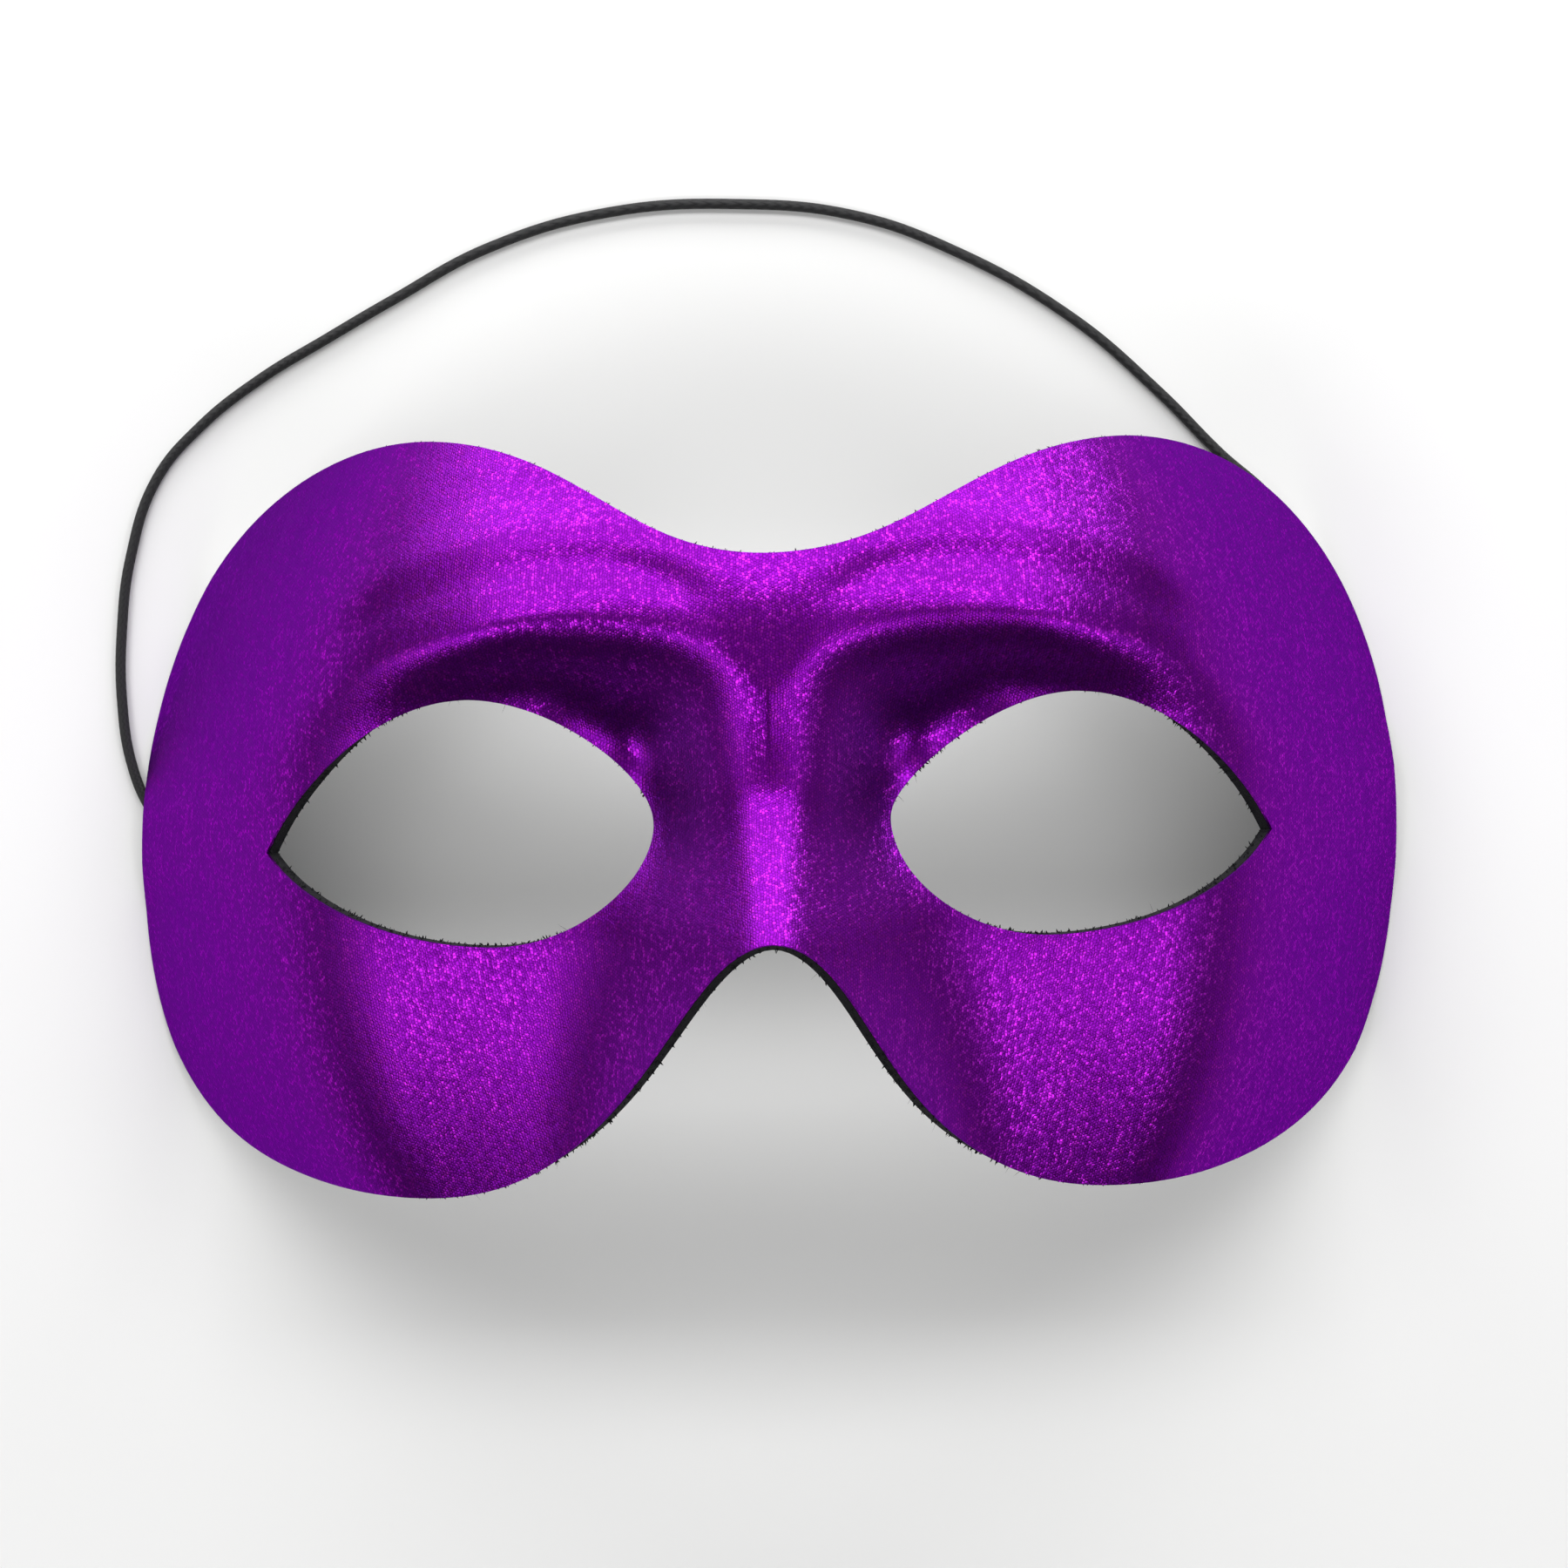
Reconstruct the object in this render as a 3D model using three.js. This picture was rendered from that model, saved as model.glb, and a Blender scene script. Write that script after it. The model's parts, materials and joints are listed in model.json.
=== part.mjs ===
// A half eye mask: black felt moulded over a form, with a purple foil knit bonded to its front,
// and a round black elastic cord that is held inside each temple by a small felt patch.
// Millimetres. X runs across the face, Y up towards the brow and Z out of the front of the face.
// The mask lies hollow side down: its two temple rims touch the plane z = 0.
import * as THREE from "three";
import { mergeVertices } from "three/addons/utils/BufferGeometryUtils.js";

const { clamp, lerp, smoothstep } = THREE.MathUtils;

// The laminate: the depth of each face below the front of the mask.
const CLOTH_THICKNESS = 0.35;
const BOND_GAP = 0.1;
const LAMINATE_THICKNESS = 1.9;
const FELT_FRONT = CLOTH_THICKNESS + BOND_GAP;

// Size of the moulded form.
const HALF_WIDTH = 90;
const EYE_LEVEL_HEIGHT = 52.5;
const FRONT_SLOPE = 0.36;
const FRONT_SLOPE_AT = 60;
const TEMPLE_SLOPE = 0.98;
const TEMPLE_BEND = { from: 50, to: 74 };
const WIDEST_AT = -4;
const PLAN_RADIUS = 80;

// How the form rolls back above the brow and below the eyes: where, how gently and how far.
const BROW_ROLL = { start: 20, length: 13.5, fall: 6 };
const BRIDGE_ROLL_DELAY = { y: 4.5, halfWidth: 13 };
const CHEEK_ROLL = { start: -4.5, length: 33, fall: 11 };
const ROLL_FADE = { from: 40, to: 82 };

// The forehead stands out over the eye sockets, behind an arched ridge.
const RIDGE = { x: 25, y: 28.1, innerBend: 0.016, outerBend: 0.008 };
const FOREHEAD = { height: 9.2, fadeFrom: 33, fadeTo: 80 };
const SOCKET_WALL = { width: 13, innerWidth: 19, innerFrom: 12, innerTo: 34, lip: 1.2 };
const SOCKET_WALL_STRAIGHTNESS = 0.4;
const SOCKET_PIT = { x: 16.4, y: 8, halfWidth: 9.2, halfHeight: 10.6, depth: 6.4 };

// A fold and a groove along the brow, each a band at its own distance above the ridge. The brow
// stays full up to a place above them, and steps gently back from there.
const BROW_FOLDS = [
  { above: 9.4, width: 3.6, height: 0.25 },
  { above: 5.7, width: 2.6, height: -0.5 },
];
const FOLD_ENDS = { inner: [5, 13], outer: [50, 63] };
const BROW_STEP = { from: 9, to: 18, fall: 0.4, outer: [46, 66] };

// The nose: its height over the eye level, then its crest, which is round below and flat between
// the sockets, and its foot, which spreads below and above.
const NOSE = { height: 9.2, riseBelow: 5.5, length: 7.6, rise: 5.3 };
const NOSE_CREST = { lowHalfWidth: 3.3, highHalfWidth: 8.4, low: -12, high: 16, lowPower: 2, highPower: 4 };
const NOSE_FOOT = { middle: 15.8, low: 23.5, lowAt: 17, high: 15.4, highAt: 12 };
const NOSE_FOOT_SOFTNESS = 0.19;
const BLEND = 1.8;

// The outline of each half, cut by hand, so the two differ by a millimetre or three.
// Each landmark is a highest, lowest or widest point, with the lengths of its two curve handles.
const VALLEY_Y = 34.3;
const NOTCH_Y = -15.1;
const HALVES = {
  left: {
    side: -1,
    outline: {
      valleyHandle: 20,
      lobe: { x: 48.8, y: 51.5, inner: 25, outer: 25.4 },
      temple: { x: 90, y: -5, up: 33, down: 32 },
      cheek: { x: 46.3, y: -50.5, outer: 34, inner: 28 },
      notchHandle: 12.4,
    },
    eye: {
      inner: { x: 15.3, y: -0.3, up: 5.6, down: 7.6 },
      top: { x: 40.4, y: 16.4, inner: 12.5, outer: 12 },
      tip: { x: 68.5, y: -3.5, upper: [3.3, 7.5], lower: [3.6, 5.7] },
      bottom: { x: 37, y: -16.4, inner: 11, outer: 14.3 },
    },
  },
  right: {
    side: 1,
    outline: {
      valleyHandle: 22,
      lobe: { x: 53, y: 50.8, inner: 26.3, outer: 22 },
      temple: { x: 89.2, y: -0.5, up: 30.3, down: 34.8 },
      cheek: { x: 45.2, y: -50.4, outer: 33.5, inner: 31.5 },
      notchHandle: 13.4,
    },
    eye: {
      inner: { x: 15.7, y: 0.1, up: 3.8, down: 8.8 },
      top: { x: 40.8, y: 16.1, inner: 11.8, outer: 11.6 },
      tip: { x: 67.8, y: -2.8, upper: [3.6, 8.1], lower: [3.6, 6.2] },
      bottom: { x: 36.8, y: -16.1, inner: 10.3, outer: 14.6 },
    },
  },
};

// Each half is a ring of cells from the eye hole out to the outline and the middle line.
// The stations go round the ring, and the rings go from the eye hole outwards.
const MIDDLE_START_Y = 4;
const STATIONS = { middleUp: 7, toLobe: 9, toTemple: 11, toCheek: 11, toNotch: 10, middleDown: 5 };
const RINGS = 9;
const RIDGE_RING = 4;
const RIDGE_SHARE = 0.44;
const SHARE_SMOOTHING = 3;

// The rim: where it lies on the table, and the low arch that lets the cord pass under it.
const TEMPLE_START_X = 45;
const REST_ZONE = { full: 26, gone: 33.5 };
const RIM_CLEARANCE = 1;
const RIM_ARCH = { height: 2.4, flat: 6, end: 12 };
const RIM_TRIM_START = 0.4;
const LEVEL_CUT = { below: 2.5, notAbove: 8 };
const CLOTH_LIFT = 0.35;

// Points nearer to each other than this are one point, and a place is told by its digits.
const WELD_DISTANCE = 1e-4;
const PLACE_DIGITS = 3;

// The felt patches that hold the cord, as windows of the same cells on the inner face.
const PATCH_STATIONS = [1, 3];
const PATCH_RINGS = [6, 8];
const PATCH_GAP = 0.3;
const PATCH_THICKNESS = 1.6;

// The elastic cord, and its route from the left patch round to the right one.
const CORD_DIAMETER = 1.5;
const CORD_SIDES = 8;
const CORD_STEPS = 72;
const CORD_ON_TABLE = 0.76;
const CORD_ROUTE = [
  [-82, -9.8, 6.6],
  [-82.1, -7.4, 5.7],
  [-82.9, -4.9, 3.9],
  [-84.5, -2.4, 2.1],
  [-86.6, 0.1, 1.05],
  [-88.7, 2.8, CORD_ON_TABLE],
  [-91.1, 8.8, CORD_ON_TABLE],
  [-92.4, 18, CORD_ON_TABLE],
  [-92.2, 28.7, CORD_ON_TABLE],
  [-90.8, 38.6, CORD_ON_TABLE],
  [-86.9, 49.7, CORD_ON_TABLE],
  [-80.4, 57.2, CORD_ON_TABLE],
  [-71.7, 63.8, CORD_ON_TABLE],
  [-62.4, 69.2, CORD_ON_TABLE],
  [-52.8, 74.6, CORD_ON_TABLE],
  [-39, 81.8, CORD_ON_TABLE],
  [-21.5, 86.6, CORD_ON_TABLE],
  [-2.8, 87.4, CORD_ON_TABLE],
  [13.3, 85.5, CORD_ON_TABLE],
  [26.9, 80.5, CORD_ON_TABLE],
  [44.2, 70.3, CORD_ON_TABLE],
  [56.4, 59.5, CORD_ON_TABLE],
  [64.9, 50.6, CORD_ON_TABLE],
  [72.3, 43.6, CORD_ON_TABLE],
  [77, 35.5, CORD_ON_TABLE],
  [79.8, 26, CORD_ON_TABLE],
  [81.1, 16, CORD_ON_TABLE],
  [81.5, 8.5, 1.05],
  [81.6, 2.6, 3.2],
  [81.2, -2, 5.8],
  [81.3, -6.2, 8.2],
];

// The area under a smoothstep that runs from one place to another.
function areaUnderStep(from, to, at) {
  const length = to - from;
  const share = clamp((at - from) / length, 0, 1);
  return length * (share ** 3 - share ** 4 / 2) + Math.max(at - to, 0);
}

// A surface that starts level and turns down to a steady slope.
function rollOff(past, { length, fall }) {
  return fall * (Math.hypot(1, Math.max(past, 0) / length) - 1);
}

// Softly takes the higher of two heights.
function blendHigher(one, other) {
  const high = Math.max(one, other);
  return high + BLEND * Math.log1p(Math.exp((Math.min(one, other) - high) / BLEND));
}

function ridgeY(across) {
  const bend = across < RIDGE.x ? RIDGE.innerBend : RIDGE.outerBend;
  return RIDGE.y - bend * (across - RIDGE.x) ** 2;
}

// The plain form at the level of the eyes: nearly flat in front, then bent down to the temples.
function plainHeight(across, y) {
  const halfWidthHere = HALF_WIDTH - (y - WIDEST_AT) ** 2 / (2 * PLAN_RADIUS);
  const spread = (across * HALF_WIDTH) / halfWidthHere;
  const front = (FRONT_SLOPE / (2 * FRONT_SLOPE_AT)) * spread ** 2;
  const temple = TEMPLE_SLOPE * areaUnderStep(TEMPLE_BEND.from, TEMPLE_BEND.to, spread);
  const delay = BRIDGE_ROLL_DELAY.y * Math.exp(-((across / BRIDGE_ROLL_DELAY.halfWidth) ** 2));
  const brow = rollOff(y - BROW_ROLL.start - delay, BROW_ROLL);
  const cheek = rollOff(CHEEK_ROLL.start - y, CHEEK_ROLL);
  const inFront = 1 - smoothstep(across, ROLL_FADE.from, ROLL_FADE.to);
  return EYE_LEVEL_HEIGHT - front - temple - inFront * (brow + cheek);
}

// The nose and the bridge between the sockets, as a tent with a round crest and a soft foot.
function noseHeight(across, y) {
  const top = NOSE.height + rollOff(NOSE.riseBelow - y, { length: NOSE.length, fall: NOSE.rise });
  const up = smoothstep(y, NOSE_CREST.low, NOSE_CREST.high);
  const halfWidth = lerp(NOSE_CREST.lowHalfWidth, NOSE_CREST.highHalfWidth, up);
  const power = lerp(NOSE_CREST.lowPower, NOSE_CREST.highPower, up);
  const drop = (across ** power + halfWidth ** power) ** (1 / power) - halfWidth;
  const foot =
    NOSE_FOOT.middle +
    (NOSE_FOOT.low - NOSE_FOOT.middle) * smoothstep(-y, 0, NOSE_FOOT.lowAt) +
    (NOSE_FOOT.high - NOSE_FOOT.middle) * smoothstep(y, 0, NOSE_FOOT.highAt);
  const left = 1 - drop / (foot - halfWidth / 2);
  const softened = Math.log1p(Math.exp(left / NOSE_FOOT_SOFTNESS));
  return (top * softened) / Math.log1p(Math.exp(1 / NOSE_FOOT_SOFTNESS));
}

// The forehead, which ends in the wall over the eye socket.
function foreheadHeight(across, y) {
  const height = FOREHEAD.height * (1 - smoothstep(across, FOREHEAD.fadeFrom, FOREHEAD.fadeTo));
  const inner = 1 - smoothstep(across, SOCKET_WALL.innerFrom, SOCKET_WALL.innerTo);
  const wall = lerp(SOCKET_WALL.width, SOCKET_WALL.innerWidth, inner);
  const up = clamp((y - ridgeY(across) + wall) / (wall - SOCKET_WALL.lip), 0, 1);
  return height * lerp(smoothstep(up, 0, 1), up, SOCKET_WALL_STRAIGHTNESS);
}

// The fold and the groove along the brow, less the step back above them.
function browFoldHeight(across, y) {
  const starts = smoothstep(across, ...FOLD_ENDS.inner);
  const ends = 1 - smoothstep(across, ...FOLD_ENDS.outer);
  const above = y - ridgeY(across);
  const folds = BROW_FOLDS.map((fold) => fold.height * Math.exp(-(((above - fold.above) / fold.width) ** 2)));
  const step = BROW_STEP.fall * smoothstep(above, BROW_STEP.from, BROW_STEP.to);
  const stepEnds = 1 - smoothstep(across, ...BROW_STEP.outer);
  return starts * ends * folds.reduce((sum, height) => sum + height, 0) - stepEnds * step;
}

function socketPitDepth(across, y) {
  const sideways = (across - SOCKET_PIT.x) / SOCKET_PIT.halfWidth;
  const upwards = (y - SOCKET_PIT.y) / SOCKET_PIT.halfHeight;
  return SOCKET_PIT.depth * Math.exp(-(sideways ** 2) - upwards ** 2);
}

// The height of the front of the mask over the table.
function frontHeight(across, y) {
  const raised = blendHigher(noseHeight(across, y), foreheadHeight(across, y));
  return plainHeight(across, y) + raised + browFoldHeight(across, y) - socketPitDepth(across, y);
}

function curve(start, startHandle, endHandle, end) {
  const from = new THREE.Vector2(...start);
  const to = new THREE.Vector2(...end);
  const leave = from.clone().add(new THREE.Vector2(...startHandle));
  const arrive = to.clone().add(new THREE.Vector2(...endHandle));
  return new THREE.CubicBezierCurve(from, leave, arrive, to);
}

// Evenly spaced points along curves that follow on from each other, without the last point.
function walk(curves, counts) {
  return curves.flatMap((piece, i) => piece.getSpacedPoints(counts[i]).slice(0, -1));
}

// The outer edge of one half's cells, from the middle of the nose bridge round and back.
function outerLoop({ valleyHandle, lobe, temple, cheek, notchHandle }) {
  const start = new THREE.Vector2(0, MIDDLE_START_Y);
  const valley = new THREE.Vector2(0, VALLEY_Y);
  const notch = new THREE.Vector2(0, NOTCH_Y);
  const curves = [
    new THREE.LineCurve(start, valley),
    curve([0, VALLEY_Y], [valleyHandle, 0], [-lobe.inner, 0], [lobe.x, lobe.y]),
    curve([lobe.x, lobe.y], [lobe.outer, 0], [0, temple.up], [temple.x, temple.y]),
    curve([temple.x, temple.y], [0, -temple.down], [cheek.outer, 0], [cheek.x, cheek.y]),
    curve([cheek.x, cheek.y], [-cheek.inner, 0], [notchHandle, 0], [0, NOTCH_Y]),
    new THREE.LineCurve(notch, start),
  ];
  return walk(curves, Object.values(STATIONS));
}

// The eye hole, from its inner corner over the top, to the outer tip and back underneath.
function eyeLoop({ inner, top, tip, bottom }) {
  const curves = [
    curve([inner.x, inner.y], [0, inner.up], [-top.inner, 0], [top.x, top.y]),
    curve([top.x, top.y], [top.outer, 0], [-tip.upper[0], tip.upper[1]], [tip.x, tip.y]),
    curve([tip.x, tip.y], [-tip.lower[0], -tip.lower[1]], [bottom.outer, 0], [bottom.x, bottom.y]),
    curve([bottom.x, bottom.y], [-bottom.inner, 0], [0, -inner.down], [inner.x, inner.y]),
  ];
  const { middleUp, toLobe, toTemple, toCheek, toNotch, middleDown } = STATIONS;
  return walk(curves, [middleUp + toLobe, toTemple, toCheek, toNotch + middleDown]);
}

// The share of the way out at which each station crosses the brow ridge, evened out round the ring.
function ridgeShares(eye, outer) {
  const tries = 200;
  const count = eye.length;
  let shares = eye.map((start, i) => {
    for (let step = 1; step < tries; step += 1) {
      const point = start.clone().lerp(outer[i], step / tries);
      if (point.y > ridgeY(point.x) && start.y > 0) return step / tries;
    }
    return RIDGE_SHARE;
  });
  for (let pass = 0; pass < SHARE_SMOOTHING; pass += 1) {
    const last = shares;
    shares = last.map((share, i) => (last.at(i - 1) + 2 * share + last[(i + 1) % count]) / 4);
  }
  return shares;
}

// The height of the rim over the table: on it along the temples, apart from the cord's arch.
function rimHeight({ x, y }) {
  const free = frontHeight(x, y);
  if (x < TEMPLE_START_X) return free;
  const arch = RIM_ARCH.height * (1 - smoothstep(Math.abs(y), RIM_ARCH.flat, RIM_ARCH.end));
  const lifted = smoothstep(Math.abs(y), REST_ZONE.full, REST_ZONE.gone);
  return lerp(arch, Math.max(free, RIM_CLEARANCE), lifted);
}

// The points of one half's cells: for each station, the points from the eye hole outwards.
function halfPoints({ side, outline, eye }) {
  const outer = outerLoop(outline);
  const inner = eyeLoop(eye);
  const shares = ridgeShares(inner, outer);
  return inner.map((start, station) => {
    const end = outer[station];
    const trim = frontHeight(end.x, end.y) - rimHeight(end);
    return Array.from({ length: RINGS + 1 }, (_, ring) => {
      const share =
        ring <= RIDGE_RING
          ? (shares[station] * ring) / RIDGE_RING
          : shares[station] + ((1 - shares[station]) * (ring - RIDGE_RING)) / (RINGS - RIDGE_RING);
      const { x, y } = start.clone().lerp(end, share);
      const height = frontHeight(x, y) - trim * smoothstep(share, RIM_TRIM_START, 1);
      return new THREE.Vector3(side * x, y, height);
    });
  });
}

// The number of stations, and the one at the widest point of the temple.
const AROUND = Object.values(STATIONS).reduce((sum, count) => sum + count, 0);
const TEMPLE_STATION = STATIONS.middleUp + STATIONS.toLobe + STATIONS.toTemple;

// The two triangles of a cell, turned the right way for its half.
function cell(a, b, c, d, side) {
  return side > 0 ? [a, b, c, a, c, d] : [a, c, b, a, d, c];
}

// Every cell of a window of one half, as corner numbers of its points.
function windowCells(first, stations, rings, side) {
  const [fromStation, toStation] = stations;
  const [fromRing, toRing] = rings;
  const index = (station, ring) => first + (station % AROUND) * (RINGS + 1) + ring;
  const cells = [];
  for (let station = fromStation; station < toStation; station += 1) {
    for (let ring = fromRing; ring < toRing; ring += 1) {
      const here = [index(station, ring), index(station, ring + 1)];
      const next = [index(station + 1, ring + 1), index(station + 1, ring)];
      cells.push(...cell(here[0], next[1], next[0], here[1], side));
    }
  }
  return cells;
}

// The front of the mask as one sheet of both halves, welded along the middle line.
function frontSheet() {
  const halves = Object.values(HALVES);
  const points = halves.flatMap((half) => halfPoints(half).flat());
  const perHalf = AROUND * (RINGS + 1);
  const triangles = halves.flatMap(({ side }, i) => windowCells(i * perHalf, [0, AROUND], [0, RINGS], side));
  const sheet = new THREE.BufferGeometry().setFromPoints(points);
  sheet.setIndex(triangles);
  return sheet;
}

// The vectors that an attribute of a geometry holds.
function vectors(attribute) {
  const vector = (_, i) => new THREE.Vector3().fromBufferAttribute(attribute, i);
  return Array.from({ length: attribute.count }, vector);
}

function placeName(point) {
  return point.toArray().map((n) => n.toFixed(PLACE_DIGITS)).join();
}

// The outward direction at each point of a sheet, shared by points that lie together.
function sheetNormals(sheet) {
  const welded = mergeVertices(sheet, WELD_DISTANCE);
  welded.computeVertexNormals();
  const { position, normal } = welded.attributes;
  const normals = vectors(normal);
  const found = new Map(vectors(position).map((point, i) => [placeName(point), normals[i]]));
  return vectors(sheet.attributes.position).map((point) => found.get(placeName(point)));
}

const SHEET = frontSheet();
const POINTS = vectors(SHEET.attributes.position);
const NORMALS = sheetNormals(SHEET);

// A point moved in from the front by a depth, and on the temple rim up the slope to its height.
function pointAtDepth(i, depth, lift) {
  const point = POINTS[i];
  const normal = NORMALS[i];
  const moved = point.clone().addScaledVector(normal, -depth);
  const onRim = i % (RINGS + 1) === RINGS;
  const share = 1 - smoothstep(point.z, LEVEL_CUT.below, LEVEL_CUT.notAbove);
  if (!onRim || share === 0) return moved;
  const tilt = Math.hypot(normal.x, normal.y);
  const upSlope = new THREE.Vector3(
    (-normal.x * normal.z) / tilt,
    (-normal.y * normal.z) / tilt,
    tilt,
  );
  const rise = point.z + lift - moved.z;
  return moved.addScaledVector(upSlope, (share * rise) / tilt);
}

// The edges that only one triangle uses, in the order that keeps the sheet on their left.
function openEdges(triangles) {
  const edges = new Map();
  for (let t = 0; t < triangles.length; t += 3) {
    for (let k = 0; k < 3; k += 1) {
      const from = triangles[t + k];
      const to = triangles[t + ((k + 1) % 3)];
      if (!edges.delete(`${to}_${from}`)) edges.set(`${from}_${to}`, [from, to]);
    }
  }
  return [...edges.values()];
}

// A closed solid between two depths of the sheet, over the triangles given.
function sheetSolid(triangles, front, back, lift) {
  const used = [...new Set(triangles)];
  const slot = new Map(used.map((i, n) => [i, n]));
  const count = used.length;
  const points = [front, back].flatMap((depth) => used.map((i) => pointAtDepth(i, depth, lift)));
  const faces = [];
  for (let t = 0; t < triangles.length; t += 3) {
    const [a, b, c] = triangles.slice(t, t + 3).map((i) => slot.get(i));
    faces.push(a, b, c, c + count, b + count, a + count);
  }
  for (const [from, to] of openEdges(triangles)) {
    const [a, b] = [slot.get(from), slot.get(to)];
    faces.push(b, a, a + count, b, a + count, b + count);
  }
  const solid = new THREE.BufferGeometry().setFromPoints(points);
  solid.setIndex(faces);
  return solid;
}

// The sheet's triangles with the middle line's doubled points replaced by one of each pair.
function weldedTriangles() {
  const firstAt = new Map();
  const sameAs = POINTS.map((point, i) => {
    const place = placeName(point);
    if (!firstAt.has(place)) firstAt.set(place, i);
    return firstAt.get(place);
  });
  return Array.from(SHEET.index.array, (i) => sameAs[i]);
}

function patchTriangles(halfNumber, side) {
  const stations = PATCH_STATIONS.map((count) => TEMPLE_STATION + count);
  return windowCells(halfNumber * AROUND * (RINGS + 1), stations, PATCH_RINGS, side);
}

function cordGeometry() {
  const path = new THREE.CatmullRomCurve3(CORD_ROUTE.map((point) => new THREE.Vector3(...point)));
  const section = new THREE.Shape();
  for (let corner = 0; corner < CORD_SIDES; corner += 1) {
    const angle = (corner * 2 * Math.PI) / CORD_SIDES;
    const x = (Math.cos(angle) * CORD_DIAMETER) / 2;
    const y = (Math.sin(angle) * CORD_DIAMETER) / 2;
    if (corner === 0) section.moveTo(x, y);
    else section.lineTo(x, y);
  }
  section.closePath();
  return new THREE.ExtrudeGeometry(section, { steps: CORD_STEPS, extrudePath: path });
}

const FOIL_CLOTH = new THREE.MeshStandardMaterial({ color: 0x7a0ab4, roughness: 0.42, metalness: 0.75 });
const BLACK_FELT = new THREE.MeshStandardMaterial({ color: 0x0d0d0f, roughness: 0.95, metalness: 0 });
const BLACK_ELASTIC = new THREE.MeshStandardMaterial({ color: 0x141416, roughness: 0.8, metalness: 0 });

function named(name, geometry, material) {
  const mesh = new THREE.Mesh(geometry, material);
  mesh.name = name;
  return mesh;
}

const mask = new THREE.Group();
const triangles = weldedTriangles();
mask.add(
  named("face_cloth", sheetSolid(triangles, 0, CLOTH_THICKNESS, CLOTH_LIFT), FOIL_CLOTH),
  named("felt_backing", sheetSolid(triangles, FELT_FRONT, LAMINATE_THICKNESS, 0), BLACK_FELT),
);
Object.entries(HALVES).forEach(([halfName, { side }], halfNumber) => {
  const front = LAMINATE_THICKNESS + PATCH_GAP;
  const patch = sheetSolid(patchTriangles(halfNumber, side), front, front + PATCH_THICKNESS, 0);
  mask.add(named(`${halfName}_anchor_patch`, patch, BLACK_FELT));
});
mask.add(named("elastic_cord", cordGeometry(), BLACK_ELASTIC));

export default mask;
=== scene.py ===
# %% [markdown]
# A half eye mask, lying face up on a pale table.
#
# The real thing is a light party mask. Purple foil knit is bonded over black felt, the two
# are pressed to shape together with heat and then cut, and a round black elastic is fixed
# behind the temples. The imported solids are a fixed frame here: every piece that is made
# below takes the place of one of them and is finished as the real one is.

import json
import math
import random

import bpy
import numpy as np
from mathutils import Matrix, Vector

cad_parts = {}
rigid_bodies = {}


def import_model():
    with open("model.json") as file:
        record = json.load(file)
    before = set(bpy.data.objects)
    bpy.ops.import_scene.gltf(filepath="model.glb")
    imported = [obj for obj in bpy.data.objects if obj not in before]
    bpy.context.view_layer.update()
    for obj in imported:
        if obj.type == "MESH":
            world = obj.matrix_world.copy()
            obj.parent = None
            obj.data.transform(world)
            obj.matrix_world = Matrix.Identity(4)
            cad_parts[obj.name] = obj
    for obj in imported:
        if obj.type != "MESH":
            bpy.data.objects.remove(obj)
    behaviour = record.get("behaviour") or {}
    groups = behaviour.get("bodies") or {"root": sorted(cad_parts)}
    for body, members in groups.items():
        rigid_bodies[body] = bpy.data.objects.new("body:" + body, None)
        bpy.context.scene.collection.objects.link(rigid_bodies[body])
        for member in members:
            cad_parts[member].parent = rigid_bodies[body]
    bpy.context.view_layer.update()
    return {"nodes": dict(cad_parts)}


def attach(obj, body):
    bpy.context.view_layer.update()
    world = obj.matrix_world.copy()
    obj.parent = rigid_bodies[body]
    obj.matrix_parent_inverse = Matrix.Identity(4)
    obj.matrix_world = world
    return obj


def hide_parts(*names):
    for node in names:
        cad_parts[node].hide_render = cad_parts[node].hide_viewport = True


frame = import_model()
nodes = frame["nodes"]
MM = 0.001
print("solids of the frame:", sorted(nodes))

# %% [markdown]
# The camera looks straight down on the table, a little off the middle of the mask and
# turned by about one degree. A long lens keeps the mask from looking bulged, as a camera
# on a copy stand does. Other views move this camera, so it has no shift and no blur.

# %% Camera
CAMERA_PLACE = (1.848 * MM, 4.508 * MM, 640 * MM)
CAMERA_TURN = math.radians(-1.094)
FILM_WIDTH = 36
LENS_LENGTH = 102.8
bpy.ops.object.camera_add(location=CAMERA_PLACE, rotation=(0, 0, CAMERA_TURN))
camera = bpy.context.object
camera.name = "camera"
camera.data.sensor_width = FILM_WIDTH
camera.data.lens = LENS_LENGTH
bpy.context.scene.camera = camera
print("camera height in millimetres:", camera.location.z / MM)

# %% [markdown]
# The elastic is a round braided cord, a millimetre and a half thick. It comes out of the
# left patch inside the mask, goes under the left edge, lies on the table in one loose arc
# and comes back under the right brow to the right patch. A curve with a round bevel is
# the natural tool, because its own line is the cord's centreline and its thickness is one
# number. The points are the same route that the solid cord has, in millimetres.

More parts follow.
